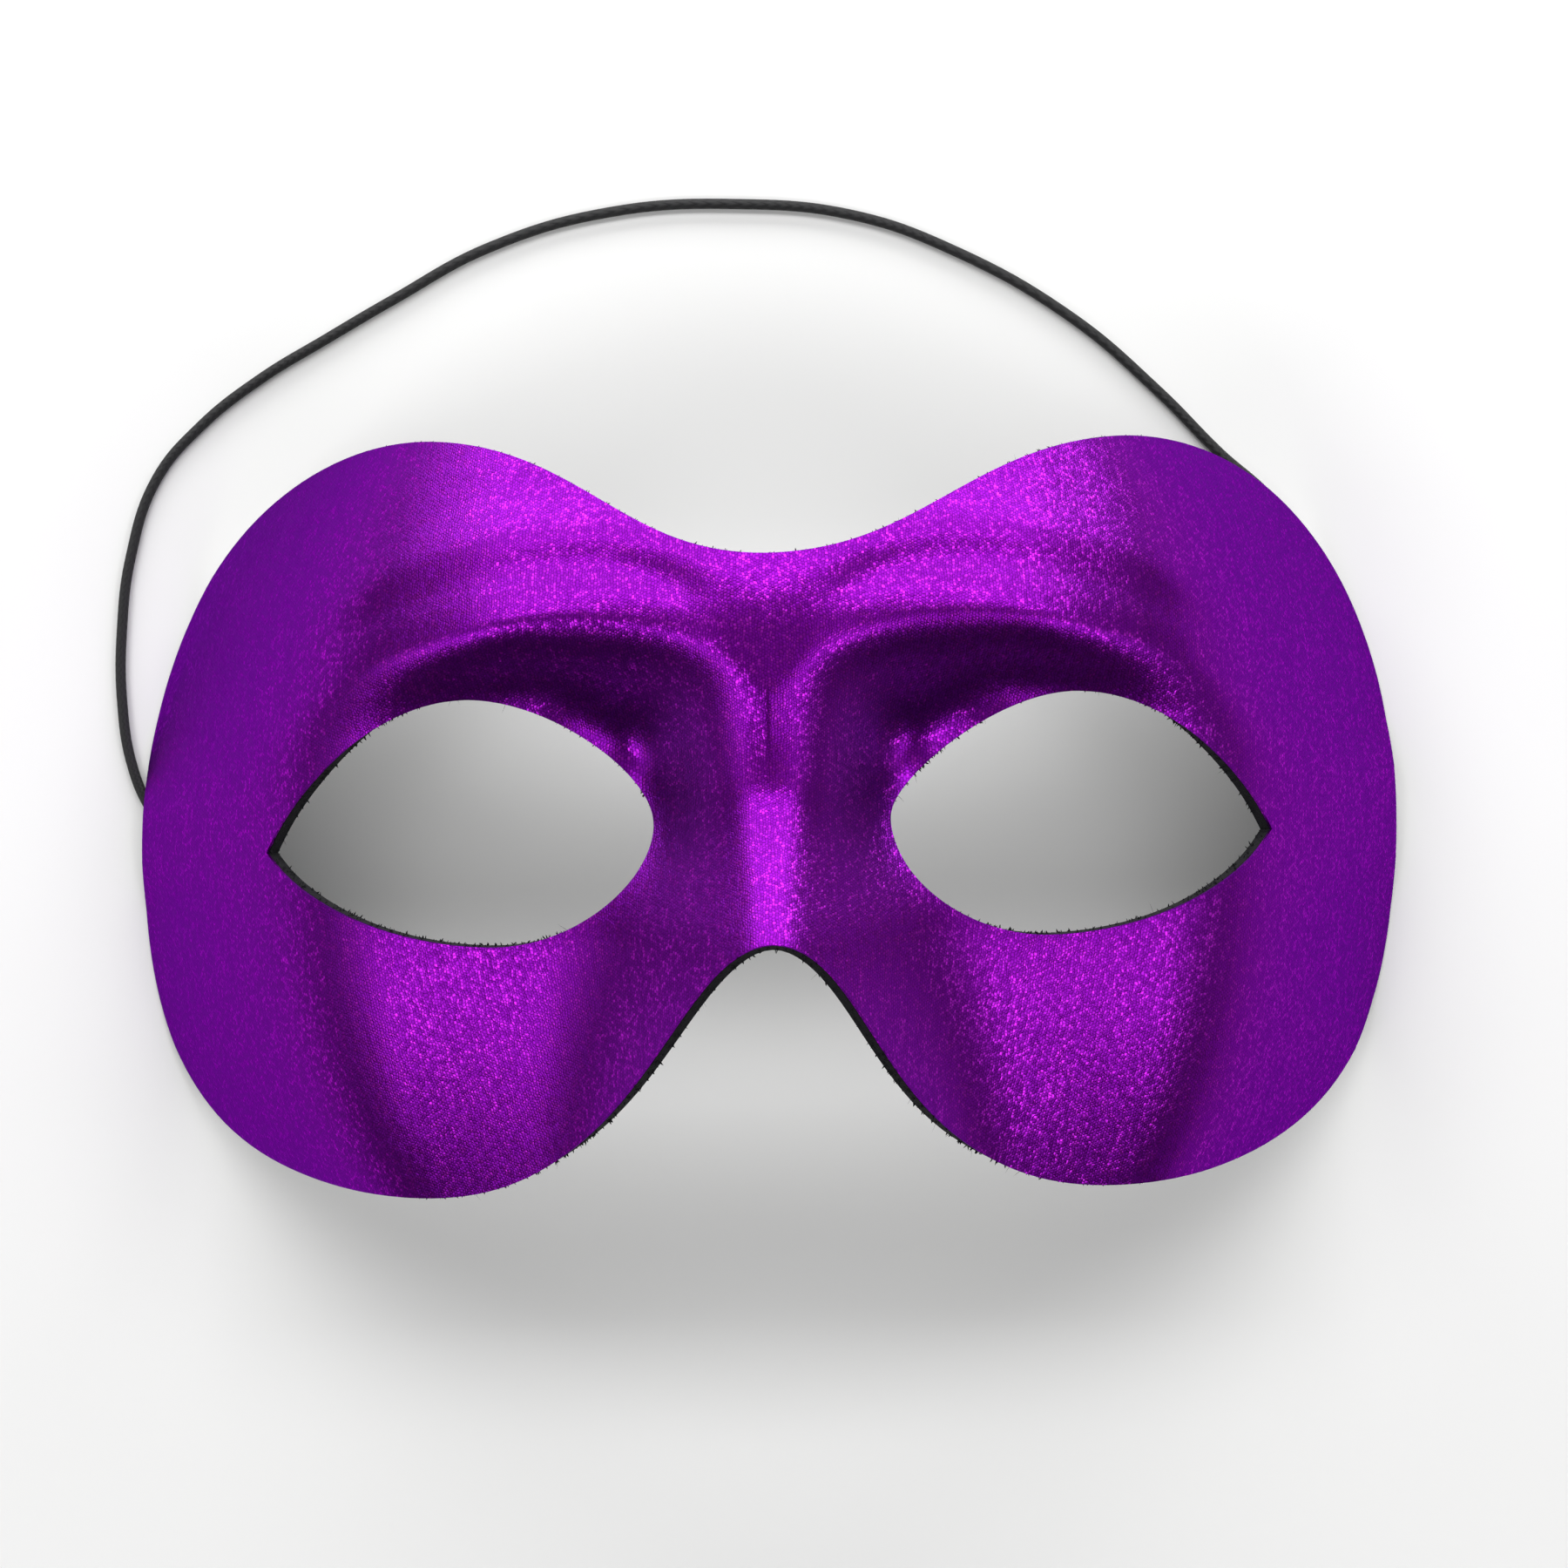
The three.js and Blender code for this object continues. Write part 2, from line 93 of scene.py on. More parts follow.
# %% Route of the elastic
CORD_DIAMETER = 1.5 * MM
CORD_LENGTH = 302.7 * MM
ON_TABLE = 0.76
CORD_ROUTE = [
    (-82, -9.8, 6.6),
    (-82.1, -7.4, 5.7),
    (-82.9, -4.9, 3.9),
    (-84.5, -2.4, 2.1),
    (-86.6, 0.1, 1.05),
    (-88.7, 2.8, ON_TABLE),
    (-91.1, 8.8, ON_TABLE),
    (-92.4, 18, ON_TABLE),
    (-92.2, 28.7, ON_TABLE),
    (-90.8, 38.6, ON_TABLE),
    (-86.9, 49.7, ON_TABLE),
    (-80.4, 57.2, ON_TABLE),
    (-71.7, 63.8, ON_TABLE),
    (-62.4, 69.2, ON_TABLE),
    (-52.8, 74.6, ON_TABLE),
    (-39, 81.8, ON_TABLE),
    (-21.5, 86.6, ON_TABLE),
    (-2.8, 87.4, ON_TABLE),
    (13.3, 85.5, ON_TABLE),
    (26.9, 80.5, ON_TABLE),
    (44.2, 70.3, ON_TABLE),
    (56.4, 59.5, ON_TABLE),
    (64.9, 50.6, ON_TABLE),
    (72.3, 43.6, ON_TABLE),
    (77, 35.5, ON_TABLE),
    (79.8, 26, ON_TABLE),
    (81.1, 16, ON_TABLE),
    (81.5, 8.5, 1.05),
    (81.6, 2.6, 3.2),
    (81.2, -2, 5.8),
    (81.3, -6.2, 8.2),
]

# %% [markdown]
# Blender counts the radius of each point into the size of a curve's box, and multiplies it
# by the bevel to get the thickness. So each point is given the cord's true radius, and the
# bevel is a whole metre: the cord then has its right thickness and its right box.

# %% Make the elastic
WHOLE_METRE = 1.0
STEPS_ALONG = 10
STEPS_ROUND = 4
cord_curve = bpy.data.curves.new("braided_elastic", "CURVE")
cord_curve.dimensions = "3D"
cord_curve.resolution_u = STEPS_ALONG
cord_curve.bevel_depth = WHOLE_METRE
cord_curve.bevel_resolution = STEPS_ROUND
cord_curve.use_fill_caps = True
cord_line = cord_curve.splines.new("BEZIER")
cord_line.bezier_points.add(len(CORD_ROUTE) - 1)
for point, place in zip(cord_line.bezier_points, CORD_ROUTE):
    point.co = Vector(place) * MM
    point.radius = CORD_DIAMETER / 2
    point.handle_left_type = "AUTO"
    point.handle_right_type = "AUTO"
elastic = bpy.data.objects.new("braided_elastic", cord_curve)
bpy.context.scene.collection.objects.link(elastic)
print("length of the elastic in millimetres:", round(cord_line.calc_length() / MM, 1))

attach(elastic, "root")
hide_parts("elastic_cord")

# %% [markdown]
# The cloth, the felt and the two patches are soft forms with crisp cut edges. Each starts
# as a copy of its solid. The copy's loose triangles are merged into one skin and paired
# back into four-sided faces, the cut edges are creased, and a Subdivision Surface rounds
# all the rest. Sculpting the form anew would only drift away from the solid.

# %% Helpers: choose a piece, and copy a solid as quads
MERGE_DISTANCE = 0.001 * MM
PAIR_ACROSS = math.radians(60)
PAIR_ANY_SHAPE = math.radians(180)
PAIR_IN_ROWS = 2.0


def choose(piece):
    """Makes a piece the only selected object, and the active one."""
    bpy.ops.object.select_all(action="DESELECT")
    piece.select_set(True)
    bpy.context.view_layer.objects.active = piece


def quad_copy(node_name, piece_name):
    """Copies a solid, merges its corners and pairs its triangles into quads."""
    mesh = nodes[node_name].data.copy()
    mesh.name = piece_name
    mesh.materials.clear()
    piece = bpy.data.objects.new(piece_name, mesh)
    bpy.context.scene.collection.objects.link(piece)
    choose(piece)
    if mesh.has_custom_normals:
        bpy.ops.mesh.customdata_custom_splitnormals_clear()
    bpy.ops.object.mode_set(mode="EDIT")
    bpy.ops.mesh.select_all(action="SELECT")
    bpy.ops.mesh.remove_doubles(threshold=MERGE_DISTANCE)
    bpy.ops.mesh.tris_convert_to_quads(
        face_threshold=PAIR_ACROSS,
        shape_threshold=PAIR_ANY_SHAPE,
        topology_influence=PAIR_IN_ROWS,
    )
    bpy.ops.object.mode_set(mode="OBJECT")
    odd = sum(len(face.vertices) != 4 for face in mesh.polygons)
    print(piece_name, "has", len(mesh.polygons), "faces,", odd, "of them not four-sided")
    return piece


# %% Helpers: crease the cut edges, and select faces
CUT_ANGLE = math.radians(62)


def crease_cut_edges(piece):
    """Keeps the edges round the cut sharp, and marks them as seams for the unwrap."""
    choose(piece)
    bpy.ops.object.mode_set(mode="EDIT")
    bpy.ops.mesh.select_mode(type="EDGE")
    bpy.ops.mesh.select_all(action="DESELECT")
    bpy.ops.mesh.edges_select_sharp(sharpness=CUT_ANGLE)
    bpy.ops.transform.edge_crease(value=1.0)
    bpy.ops.mesh.mark_seam()
    bpy.ops.object.mode_set(mode="OBJECT")


def select_faces(piece, numbers):
    """Selects just these faces, and leaves the piece in face mode."""
    choose(piece)
    bpy.ops.object.mode_set(mode="EDIT")
    bpy.ops.mesh.select_mode(type="FACE")
    bpy.ops.mesh.select_all(action="DESELECT")
    bpy.ops.object.mode_set(mode="OBJECT")
    for number_of_face in numbers:
        piece.data.polygons[number_of_face].select = True
    bpy.ops.object.mode_set(mode="EDIT")


# %% Helpers: tell the front skin and the cut faces apart
FACING_UP = 0.9


def front_points(piece):
    """True for each point of the front skin: what the top face reaches without a seam."""
    upper = [face for face in piece.data.polygons if face.normal.z > FACING_UP]
    select_faces(piece, [max(upper, key=lambda face: face.center.z).index])
    bpy.ops.mesh.select_linked(delimit={"SEAM"})
    bpy.ops.object.mode_set(mode="OBJECT")
    front = np.zeros(len(piece.data.vertices), bool)
    for face in piece.data.polygons:
        if face.select:
            front[list(face.vertices)] = True
    return front


def part_skins(piece):
    """Finds the front skin and the cut faces, which join it to the back one."""
    crease_cut_edges(piece)
    front = front_points(piece)
    mark = piece.data.attributes.new("cut_face", "FLOAT", "FACE")
    cut = []
    for face in piece.data.polygons:
        in_front = front[list(face.vertices)]
        if in_front.any() and not in_front.all():
            cut.append(face.index)
            mark.data[face.index].value = 1.0
    select_faces(piece, cut)
    bpy.ops.mesh.region_to_loop()
    bpy.ops.transform.edge_crease(value=1.0)
    bpy.ops.mesh.mark_seam()
    bpy.ops.object.mode_set(mode="OBJECT")
    print(piece.name, "has", int(front.sum()), "front points and", len(cut), "cut faces")
    return front


# %% Helper: round a piece off


def round_off(piece, levels):
    """Rounds a piece with a Subdivision Surface, and applies it."""
    choose(piece)
    softer = piece.modifiers.new("soft_form", "SUBSURF")
    softer.levels = levels
    softer.render_levels = levels
    bpy.ops.object.modifier_apply(modifier=softer.name)
    bpy.ops.object.shade_smooth_by_angle(angle=CUT_ANGLE)
    corners = sum(len(face.vertices) - 2 for face in piece.data.polygons)
    print(piece.name, "now has", corners, "triangles")


# %% [markdown]
# The solids have cells of about four millimetres, too coarse for the crisp ridge over the
# eye sockets. The mould that the mask was pressed on is one smooth surface, so it is
# written here as a height over the table for every place in plan, in millimetres. After a
# skin is rounded off, each of its points is set back on that surface at its own depth. The
# rims are trimmed to stand on the table, so there the solid departs from the mould. That
# trim is noted for each corner of the solid first, and kept.

# %% The mould: small helpers
HALF_WIDTH = 90
EYE_LEVEL_HEIGHT = 52.5
FRONT_SLOPE = 0.36
FRONT_SLOPE_AT = 60
TEMPLE_SLOPE = 0.98
TEMPLE_BEND = (50, 74)
WIDEST_AT = -4
PLAN_RADIUS = 80


def rise(at, start, end):
    """Goes smoothly from 0 at the start to 1 at the end."""
    share = np.clip((at - start) / (end - start), 0, 1)
    return share * share * (3 - 2 * share)


def area_under_rise(at, start, end):
    """The area under that smooth step, up to a place."""
    share = np.clip((at - start) / (end - start), 0, 1)
    return (end - start) * (share**3 - share**4 / 2) + np.maximum(at - end, 0)


def roll_off(past, length, fall):
    """Starts level and turns down to a steady slope."""
    return fall * (np.hypot(1, np.maximum(past, 0) / length) - 1)


def between(first, second, share):
    """A value part of the way from the first to the second."""
    return first + (second - first) * share


print("half width that the mould is reckoned from:", HALF_WIDTH, "mm")

# %% The mould: the plain form, nearly flat in front and bent down to the temples
BROW_ROLL = {"start": 20, "length": 13.5, "fall": 6}
BRIDGE_ROLL_DELAY = {"y": 4.5, "half_width": 13}
CHEEK_ROLL = {"start": -4.5, "length": 33, "fall": 11}
ROLL_FADE = (40, 82)


def plain_height(across, y):
    """Height of the form without its nose and brow."""
    half_width_here = HALF_WIDTH - (y - WIDEST_AT) ** 2 / (2 * PLAN_RADIUS)
    spread = across * HALF_WIDTH / half_width_here
    front = FRONT_SLOPE / (2 * FRONT_SLOPE_AT) * spread**2
    temple = TEMPLE_SLOPE * area_under_rise(spread, *TEMPLE_BEND)
    delay = BRIDGE_ROLL_DELAY["y"] * np.exp(-((across / BRIDGE_ROLL_DELAY["half_width"]) ** 2))
    past_brow = y - BROW_ROLL["start"] - delay
    brow = roll_off(past_brow, BROW_ROLL["length"], BROW_ROLL["fall"])
    cheek = roll_off(CHEEK_ROLL["start"] - y, CHEEK_ROLL["length"], CHEEK_ROLL["fall"])
    in_front = 1 - rise(across, *ROLL_FADE)
    return EYE_LEVEL_HEIGHT - front - temple - in_front * (brow + cheek)


print("plain height at the nose:", round(float(plain_height(0.0, 0.0)), 2), "mm")

# %% The mould: the nose and the bridge, as a tent with a round crest and a soft foot
NOSE = {"height": 9.2, "rise_below": 5.5, "length": 7.6, "rise": 5.3}
NOSE_CREST = {"low_half": 3.3, "high_half": 8.4, "low": -12, "high": 16}
NOSE_CREST_POWER = {"low": 2, "high": 4}
NOSE_FOOT = {"middle": 15.8, "low": 23.5, "low_at": 17, "high": 15.4, "high_at": 12}
NOSE_FOOT_SOFTNESS = 0.19


def nose_height(across, y):
    """Height of the nose and of the bridge between the sockets."""
    top = NOSE["height"] + roll_off(NOSE["rise_below"] - y, NOSE["length"], NOSE["rise"])
    up = rise(y, NOSE_CREST["low"], NOSE_CREST["high"])
    half_width = between(NOSE_CREST["low_half"], NOSE_CREST["high_half"], up)
    power = between(NOSE_CREST_POWER["low"], NOSE_CREST_POWER["high"], up)
    drop = (across**power + half_width**power) ** (1 / power) - half_width
    foot = NOSE_FOOT["middle"]
    foot = foot + (NOSE_FOOT["low"] - NOSE_FOOT["middle"]) * rise(-y, 0, NOSE_FOOT["low_at"])
    foot = foot + (NOSE_FOOT["high"] - NOSE_FOOT["middle"]) * rise(y, 0, NOSE_FOOT["high_at"])
    left = 1 - drop / (foot - half_width / 2)
    softened = np.log1p(np.exp(left / NOSE_FOOT_SOFTNESS))
    return top * softened / np.log1p(np.exp(1 / NOSE_FOOT_SOFTNESS))


print("the bridge stands up by", round(float(nose_height(0.0, 10.0)), 2), "mm")

# %% The mould: the forehead, its ridge over the sockets and the folds along the brow
RIDGE = {"x": 25, "y": 28.1, "inner_bend": 0.016, "outer_bend": 0.008}
FOREHEAD = {"height": 9.2, "fade": (33, 80)}
SOCKET_WALL = {"width": 13, "inner_width": 19, "inner": (12, 34), "lip": 1.2}
SOCKET_WALL_STRAIGHTNESS = 0.4
BROW_FOLDS = (
    {"above": 9.4, "width": 3.6, "height": 0.25},
    {"above": 5.7, "width": 2.6, "height": -0.5},
)
FOLD_ENDS = {"inner": (5, 13), "outer": (50, 63)}
BROW_STEP = {"from": 9, "to": 18, "fall": 0.4, "outer": (46, 66)}


def ridge_y(across):
    """Where the ridge runs over the socket."""
    bend = np.where(across < RIDGE["x"], RIDGE["inner_bend"], RIDGE["outer_bend"])
    return RIDGE["y"] - bend * (across - RIDGE["x"]) ** 2


def forehead_height(across, y):
    """Height of the forehead, which ends in the wall over the eye socket."""
    height = FOREHEAD["height"] * (1 - rise(across, *FOREHEAD["fade"]))
    inner = 1 - rise(across, *SOCKET_WALL["inner"])
    wall = between(SOCKET_WALL["width"], SOCKET_WALL["inner_width"], inner)
    up = np.clip((y - ridge_y(across) + wall) / (wall - SOCKET_WALL["lip"]), 0, 1)
    return height * between(rise(up, 0, 1), up, SOCKET_WALL_STRAIGHTNESS)


def brow_fold_height(across, y):
    """Height of the fold and the groove along the ridge, less the step back above them."""
    ends = rise(across, *FOLD_ENDS["inner"]) * (1 - rise(across, *FOLD_ENDS["outer"]))
    above = y - ridge_y(across)
    folds = 0
    for fold in BROW_FOLDS:
        folds = folds + fold["height"] * np.exp(-(((above - fold["above"]) / fold["width"]) ** 2))
    step = BROW_STEP["fall"] * rise(above, BROW_STEP["from"], BROW_STEP["to"])
    return ends * folds - (1 - rise(across, *BROW_STEP["outer"])) * step


print("the forehead stands up by", round(float(forehead_height(30.0, 40.0)), 2), "mm")

# %% The mould: the hollows in the inner corners of the sockets
SOCKET_PIT = {"x": 16.4, "y": 8, "half_width": 9.2, "half_height": 10.6, "depth": 6.4}


def socket_pit_depth(across, y):
    """Depth of the hollow in each inner corner of the sockets."""
    sideways = (across - SOCKET_PIT["x"]) / SOCKET_PIT["half_width"]
    upwards = (y - SOCKET_PIT["y"]) / SOCKET_PIT["half_height"]
    return SOCKET_PIT["depth"] * np.exp(-(sideways**2) - upwards**2)


print("depth of the hollow:", SOCKET_PIT["depth"], "mm")

# %% The mould: all of it together
BLEND = 1.8
SLOPE_STEP = 0.05
NOSE_END_Y = -14.0


def mould_height(x, y):
    """Height of the front of the mask over the table."""
    across = np.abs(x)
    nose = nose_height(across, y)
    forehead = forehead_height(across, y)
    raised = BLEND * np.logaddexp(nose / BLEND, forehead / BLEND)
    folds = brow_fold_height(across, y)
    return plain_height(across, y) + raised + folds - socket_pit_depth(across, y)


def skin_height(x, y, depth):
    """Height of a skin that lies at a depth under the front, measured square to it."""
    here = mould_height(x, y)
    climb_x = mould_height(x + SLOPE_STEP, y) - mould_height(x - SLOPE_STEP, y)
    climb_y = mould_height(x, y + SLOPE_STEP) - mould_height(x, y - SLOPE_STEP)
    slope_x = climb_x / (2 * SLOPE_STEP)
    slope_y = climb_y / (2 * SLOPE_STEP)
    return here - depth * np.sqrt(1 + slope_x**2 + slope_y**2)


print("height of the nose's end:", round(float(mould_height(0.0, NOSE_END_Y)), 2), "mm")

# %% Set a skin back on the mould


def places_in_mm(mesh):
    """The places of a mesh's points, in millimetres."""
    places = np.zeros(len(mesh.vertices) * 3, np.float32)
    mesh.vertices.foreach_get("co", places)
    return places.reshape(-1, 3).astype(float) / MM


def note(mesh, name, values):
    """Keeps one number for each point of a mesh."""
    mark = mesh.attributes.new(name, "FLOAT", "POINT")
    mark.data.foreach_set("value", np.asarray(values, np.float32))


def noted(mesh, name):
    """Reads those numbers back, after the mesh was rounded off."""
    values = np.zeros(len(mesh.vertices), np.float32)
    mesh.attributes[name].data.foreach_get("value", values)
    return values.astype(float)


def note_depths(piece, front, front_depth, back_depth):
    """Notes how deep each point lies, and how far its solid departs from the mould there."""
    x, y, z = places_in_mm(piece.data).T
    depth = np.where(front, front_depth, back_depth)
    note(piece.data, "depth", depth)
    note(piece.data, "trim", z - skin_height(x, y, depth))


def set_on_mould(piece):
    """Moves the points of a rounded skin up or down onto the mould, with the same trim."""
    x, y, z = places_in_mm(piece.data).T
    fitted = skin_height(x, y, noted(piece.data, "depth")) + noted(piece.data, "trim")
    moved = np.stack([x, y, fitted], 1) * MM
    piece.data.vertices.foreach_set("co", moved.astype(np.float32).ravel())
    piece.data.update()
    print(piece.name, "moved by up to", round(float(np.abs(fitted - z).max()), 2), "mm")


# %% [markdown]
# The foil cloth is a fine knit whose face is printed with metallic foil. Its columns of
# stitches run up and down the mask and bend with it, so the pattern must follow the
# surface. The front is unwrapped flat, and the flat map is then scaled and turned until
# one unit is one metre and its columns stand upright in the middle of the mask.

# %% Foil cloth
MAP_MARGIN = 0.002
UNWRAP_ROUNDS = 40
foil_cloth = quad_copy("face_cloth", "foil_cloth")
cloth_front = part_skins(foil_cloth)
choose(foil_cloth)
bpy.ops.object.mode_set(mode="EDIT")
bpy.ops.mesh.select_all(action="SELECT")
bpy.ops.uv.unwrap(
    method="MINIMUM_STRETCH",
    fill_holes=True,
    margin=MAP_MARGIN,
    iterations=UNWRAP_ROUNDS,
)
bpy.ops.object.mode_set(mode="OBJECT")

# %% Turn the unwrapped cloth into metres
MIDDLE_HALF_WIDTH = 40 * MM
LOW_MIDDLE_HIGH = (5, 50, 95)


def unroll_in_metres(piece, front):
    """Scales the flat map to true size, and turns it upright in the middle of the mask."""
    mesh = piece.data
    cloth_map = mesh.uv_layers.active.data
    plan, flat, stretches = [], [], []
    for face in mesh.polygons:
        if not front[list(face.vertices)].all():
            continue
        corners = [cloth_map[loop].uv for loop in face.loop_indices]
        places = [mesh.vertices[index].co for index in face.vertices]
        for here in range(len(corners)):
            true_length = (places[here] - places[here - 1]).length
            stretches.append((corners[here] - corners[here - 1]).length / true_length)
            if abs(places[here].x) < MIDDLE_HALF_WIDTH:
                plan.append(complex(places[here].x, places[here].y))
                flat.append(complex(*corners[here]))
    plan, flat = np.array(plan), np.array(flat)
    scale = 1 / np.median(stretches)
    turn = np.vdot(flat - flat.mean(), plan - plan.mean())
    turn /= abs(turn)
    for corner in cloth_map:
        laid = (complex(*corner.uv) - flat.mean()) * turn * scale + plan.mean()
        corner.uv = (laid.real, laid.imag)
    spread = np.percentile(stretches, LOW_MIDDLE_HIGH) * scale
    print("stretch of the map, low, middle and high:", [round(float(s), 2) for s in spread])


foil_cloth.data.uv_layers.active.name = "cloth_map"
unroll_in_metres(foil_cloth, cloth_front)

# %% Round the cloth: its front is the mould's, and its back lies one thickness deeper
SHELL_LEVELS = 2
CLOTH_THICKNESS = 0.35
note_depths(foil_cloth, cloth_front, 0, CLOTH_THICKNESS)
round_off(foil_cloth, SHELL_LEVELS)
set_on_mould(foil_cloth)
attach(foil_cloth, "root")
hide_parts("face_cloth")

# %% [markdown]
# The felt is the body of the mask: pressed fibre, a millimetre and a half thick, black
# right through. Its cut edge shows as a dark line round the eyes and the nose, and that
# edge is ragged with short fibres. Its two skins lie at their own depths under the front of
# the mould, in millimetres.

# %% Felt lining
FELT_FRONT = 0.45
FELT_BACK = 1.9
felt = quad_copy("felt_backing", "felt_lining")
felt_front = part_skins(felt)
note_depths(felt, felt_front, FELT_FRONT, FELT_BACK)
round_off(felt, SHELL_LEVELS)
set_on_mould(felt)
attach(felt, "root")
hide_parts("felt_backing")

# %% [markdown]
# A tuft of the cut edge is a short bent spike. One tuft is modelled from a three-sided
# cylinder that is extruded twice, narrowed and closed to a point. Over two thousand copies,
# each with its own turn and length, are then set along the cut faces with a fixed seed. A
# few long and thin ones are loose fibres. A copy whose tip would reach the table is left out.

# %% One tuft
TUFT_SIDES = 3
TUFT_FOOT = {"radius": 0.5, "depth": 0.4}
TUFT_STEPS = (
    {"up": 0.35, "drift": 0.10, "narrow": 0.75},
    {"up": 0.45, "drift": 0.30, "narrow": 0.05},
)
bpy.ops.object.select_all(action="DESELECT")
bpy.ops.mesh.primitive_cylinder_add(vertices=TUFT_SIDES, location=(0, 0, 0), **TUFT_FOOT)
tuft = bpy.context.object
tuft.name = "one_tuft"
bpy.ops.object.mode_set(mode="EDIT")
bpy.ops.mesh.select_mode(type="FACE")
for step in TUFT_STEPS:
    bpy.ops.mesh.select_all(action="DESELECT")
    bpy.ops.object.mode_set(mode="OBJECT")
    top = max(tuft.data.polygons, key=lambda face: face.center.z)
    for face in tuft.data.polygons:
        face.select = face.index == top.index
    bpy.ops.object.mode_set(mode="EDIT")
    shift = (step["drift"], 0, step["up"])
    bpy.ops.mesh.extrude_region_move(TRANSFORM_OT_translate={"value": shift})
    bpy.ops.transform.resize(value=(step["narrow"], step["narrow"], 1))
bpy.ops.mesh.merge(type="CENTER")
bpy.ops.object.mode_set(mode="OBJECT")
tuft_points = np.array([vertex.co for vertex in tuft.data.vertices])
tuft_points[:, 2] -= tuft_points[:, 2].min()
tuft_points[:, 2] /= tuft_points[:, 2].max()
tuft_faces = [tuple(face.vertices) for face in tuft.data.polygons]
bpy.data.objects.remove(tuft)
print("one tuft:", len(tuft_points), "points,", len(tuft_faces), "faces")

# %% Helpers: root copies of the tuft in the cut faces
TUFT_ROOT = 0.06 * MM
TUFT_LEAN = 0.6
TABLE_GAP = 0.1 * MM
MARKED = 0.5


def cut_faces(piece):
    """The faces that lie on the cut edge."""
    mark = piece.data.attributes["cut_face"].data
    return [face for face in piece.data.polygons if mark[face.index].value > MARKED]


def tuft_mesh(piece, count, draw, widths, lengths):
    """Copies of the one tuft, rooted in random places of the cut faces."""
    faces = cut_faces(piece)
    weights = [face.area for face in faces]
    points, skins = [], []
    for face in draw.choices(faces, weights, k=count):
        ends = [piece.data.vertices[index].co for index in face.vertices]
        shares = [draw.random() for _ in ends]
        root = sum((end * share for end, share in zip(ends, shares)), Vector())
        root /= sum(shares)
        lean = Vector([draw.uniform(-TUFT_LEAN, TUFT_LEAN) for _ in range(3)])
        way = (face.normal + lean).normalized()
        turn = way.to_track_quat("Z", "X").to_matrix()
        turn = turn @ Matrix.Rotation(draw.uniform(0, 2 * math.pi), 3, "Z")
        width, length = draw.uniform(*widths), draw.uniform(*lengths)
        if (root + way * length).z < TABLE_GAP:
            continue
        start = sum(len(block) for block in points)
        shape = tuft_points * (width, width, length)
        points.append(shape @ np.array(turn).T + np.array(root - way * TUFT_ROOT))
        skins += [tuple(start + index for index in skin) for skin in tuft_faces]
    mesh = bpy.data.meshes.new("tufts")
    mesh.from_pydata(np.concatenate(points).tolist(), [], skins)
    return mesh


# %% Set the tufts and the loose fibres along the felt's edge
TUFT_SEED = 11
TUFT_COUNT = 2400
TUFT_LENGTH = (0.22 * MM, 0.7 * MM)
TUFT_WIDTH = (0.12 * MM, 0.32 * MM)
FIBRE_COUNT = 70
FIBRE_LENGTH = (0.8 * MM, 2.0 * MM)
FIBRE_WIDTH = (0.03 * MM, 0.05 * MM)
draw = random.Random(TUFT_SEED)
tufts = tuft_mesh(felt, TUFT_COUNT, draw, TUFT_WIDTH, TUFT_LENGTH)
loose_fibres = tuft_mesh(felt, FIBRE_COUNT, draw, FIBRE_WIDTH, FIBRE_LENGTH)
for name, mesh in (("tufts", tufts), ("loose_fibres", loose_fibres)):
    fluff = bpy.data.objects.new(name, mesh)
    bpy.context.scene.collection.objects.link(fluff)
    choose(felt)
    fluff.select_set(True)
    bpy.ops.object.join()
print("felt with its tufts:", len(felt.data.polygons), "faces")

# %% [markdown]
# Each end of the elastic is held under a small felt patch, glued inside the temple. The
# patches are out of sight, so they are plain: a copy of the solid with its corners rounded.

# %% Patches
PATCH_LEVELS = 2
for side in ("left", "right"):
    patch = quad_copy(side + "_anchor_patch", side + "_patch")
    crease_cut_edges(patch)
    round_off(patch, PATCH_LEVELS)
    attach(patch, "root")
    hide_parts(side + "_anchor_patch")

# %% [markdown]
# All the finishes are built from a few small steps in the shader: arithmetic on numbers,
# noise, a mix of two colours, and a bump. A helper makes each such step in any node tree.

# %% Helpers for shader nodes: feed an input, and reckon with numbers


def feed(tree, target, value):
    """Joins a socket to an input, or sets the input to a plain value."""
    if isinstance(value, bpy.types.NodeSocket):
        tree.links.new(value, target)
    else:
        target.default_value = value


def number(tree, operation, *values):
    """One Math node."""
    step = tree.nodes.new("ShaderNodeMath")
    step.operation = operation
    for target, value in zip(step.inputs, values):
        feed(tree, target, value)
    return step.outputs[0]


# %% Helpers for shader nodes: noise, and a mix of colours


def speckle(tree, place, scale, detail=2.0, stretch=(1, 1, 1)):
    """Noise from 0 to 1, stretched along an axis where its number is small."""
    spread = tree.nodes.new("ShaderNodeVectorMath")
    spread.operation = "MULTIPLY"
    feed(tree, spread.inputs[0], place)
    spread.inputs[1].default_value = stretch
    grain = tree.nodes.new("ShaderNodeTexNoise")
    grain.inputs["Scale"].default_value = scale
    grain.inputs["Detail"].default_value = detail
    tree.links.new(spread.outputs[0], grain.inputs["Vector"])
    return grain.outputs["Fac"]


def blend(tree, share, first, second):
    """A colour between two others."""
    mix = tree.nodes.new("ShaderNodeMix")
    mix.data_type = "RGBA"
    feed(tree, mix.inputs["Factor"], share)
    feed(tree, mix.inputs["A"], first)
    feed(tree, mix.inputs["B"], second)
    return mix.outputs["Result"]


# %% Helpers for shader nodes: a material, its bump, and a rounded bead
HALF = 0.5
BEAD_FALL = 4.0


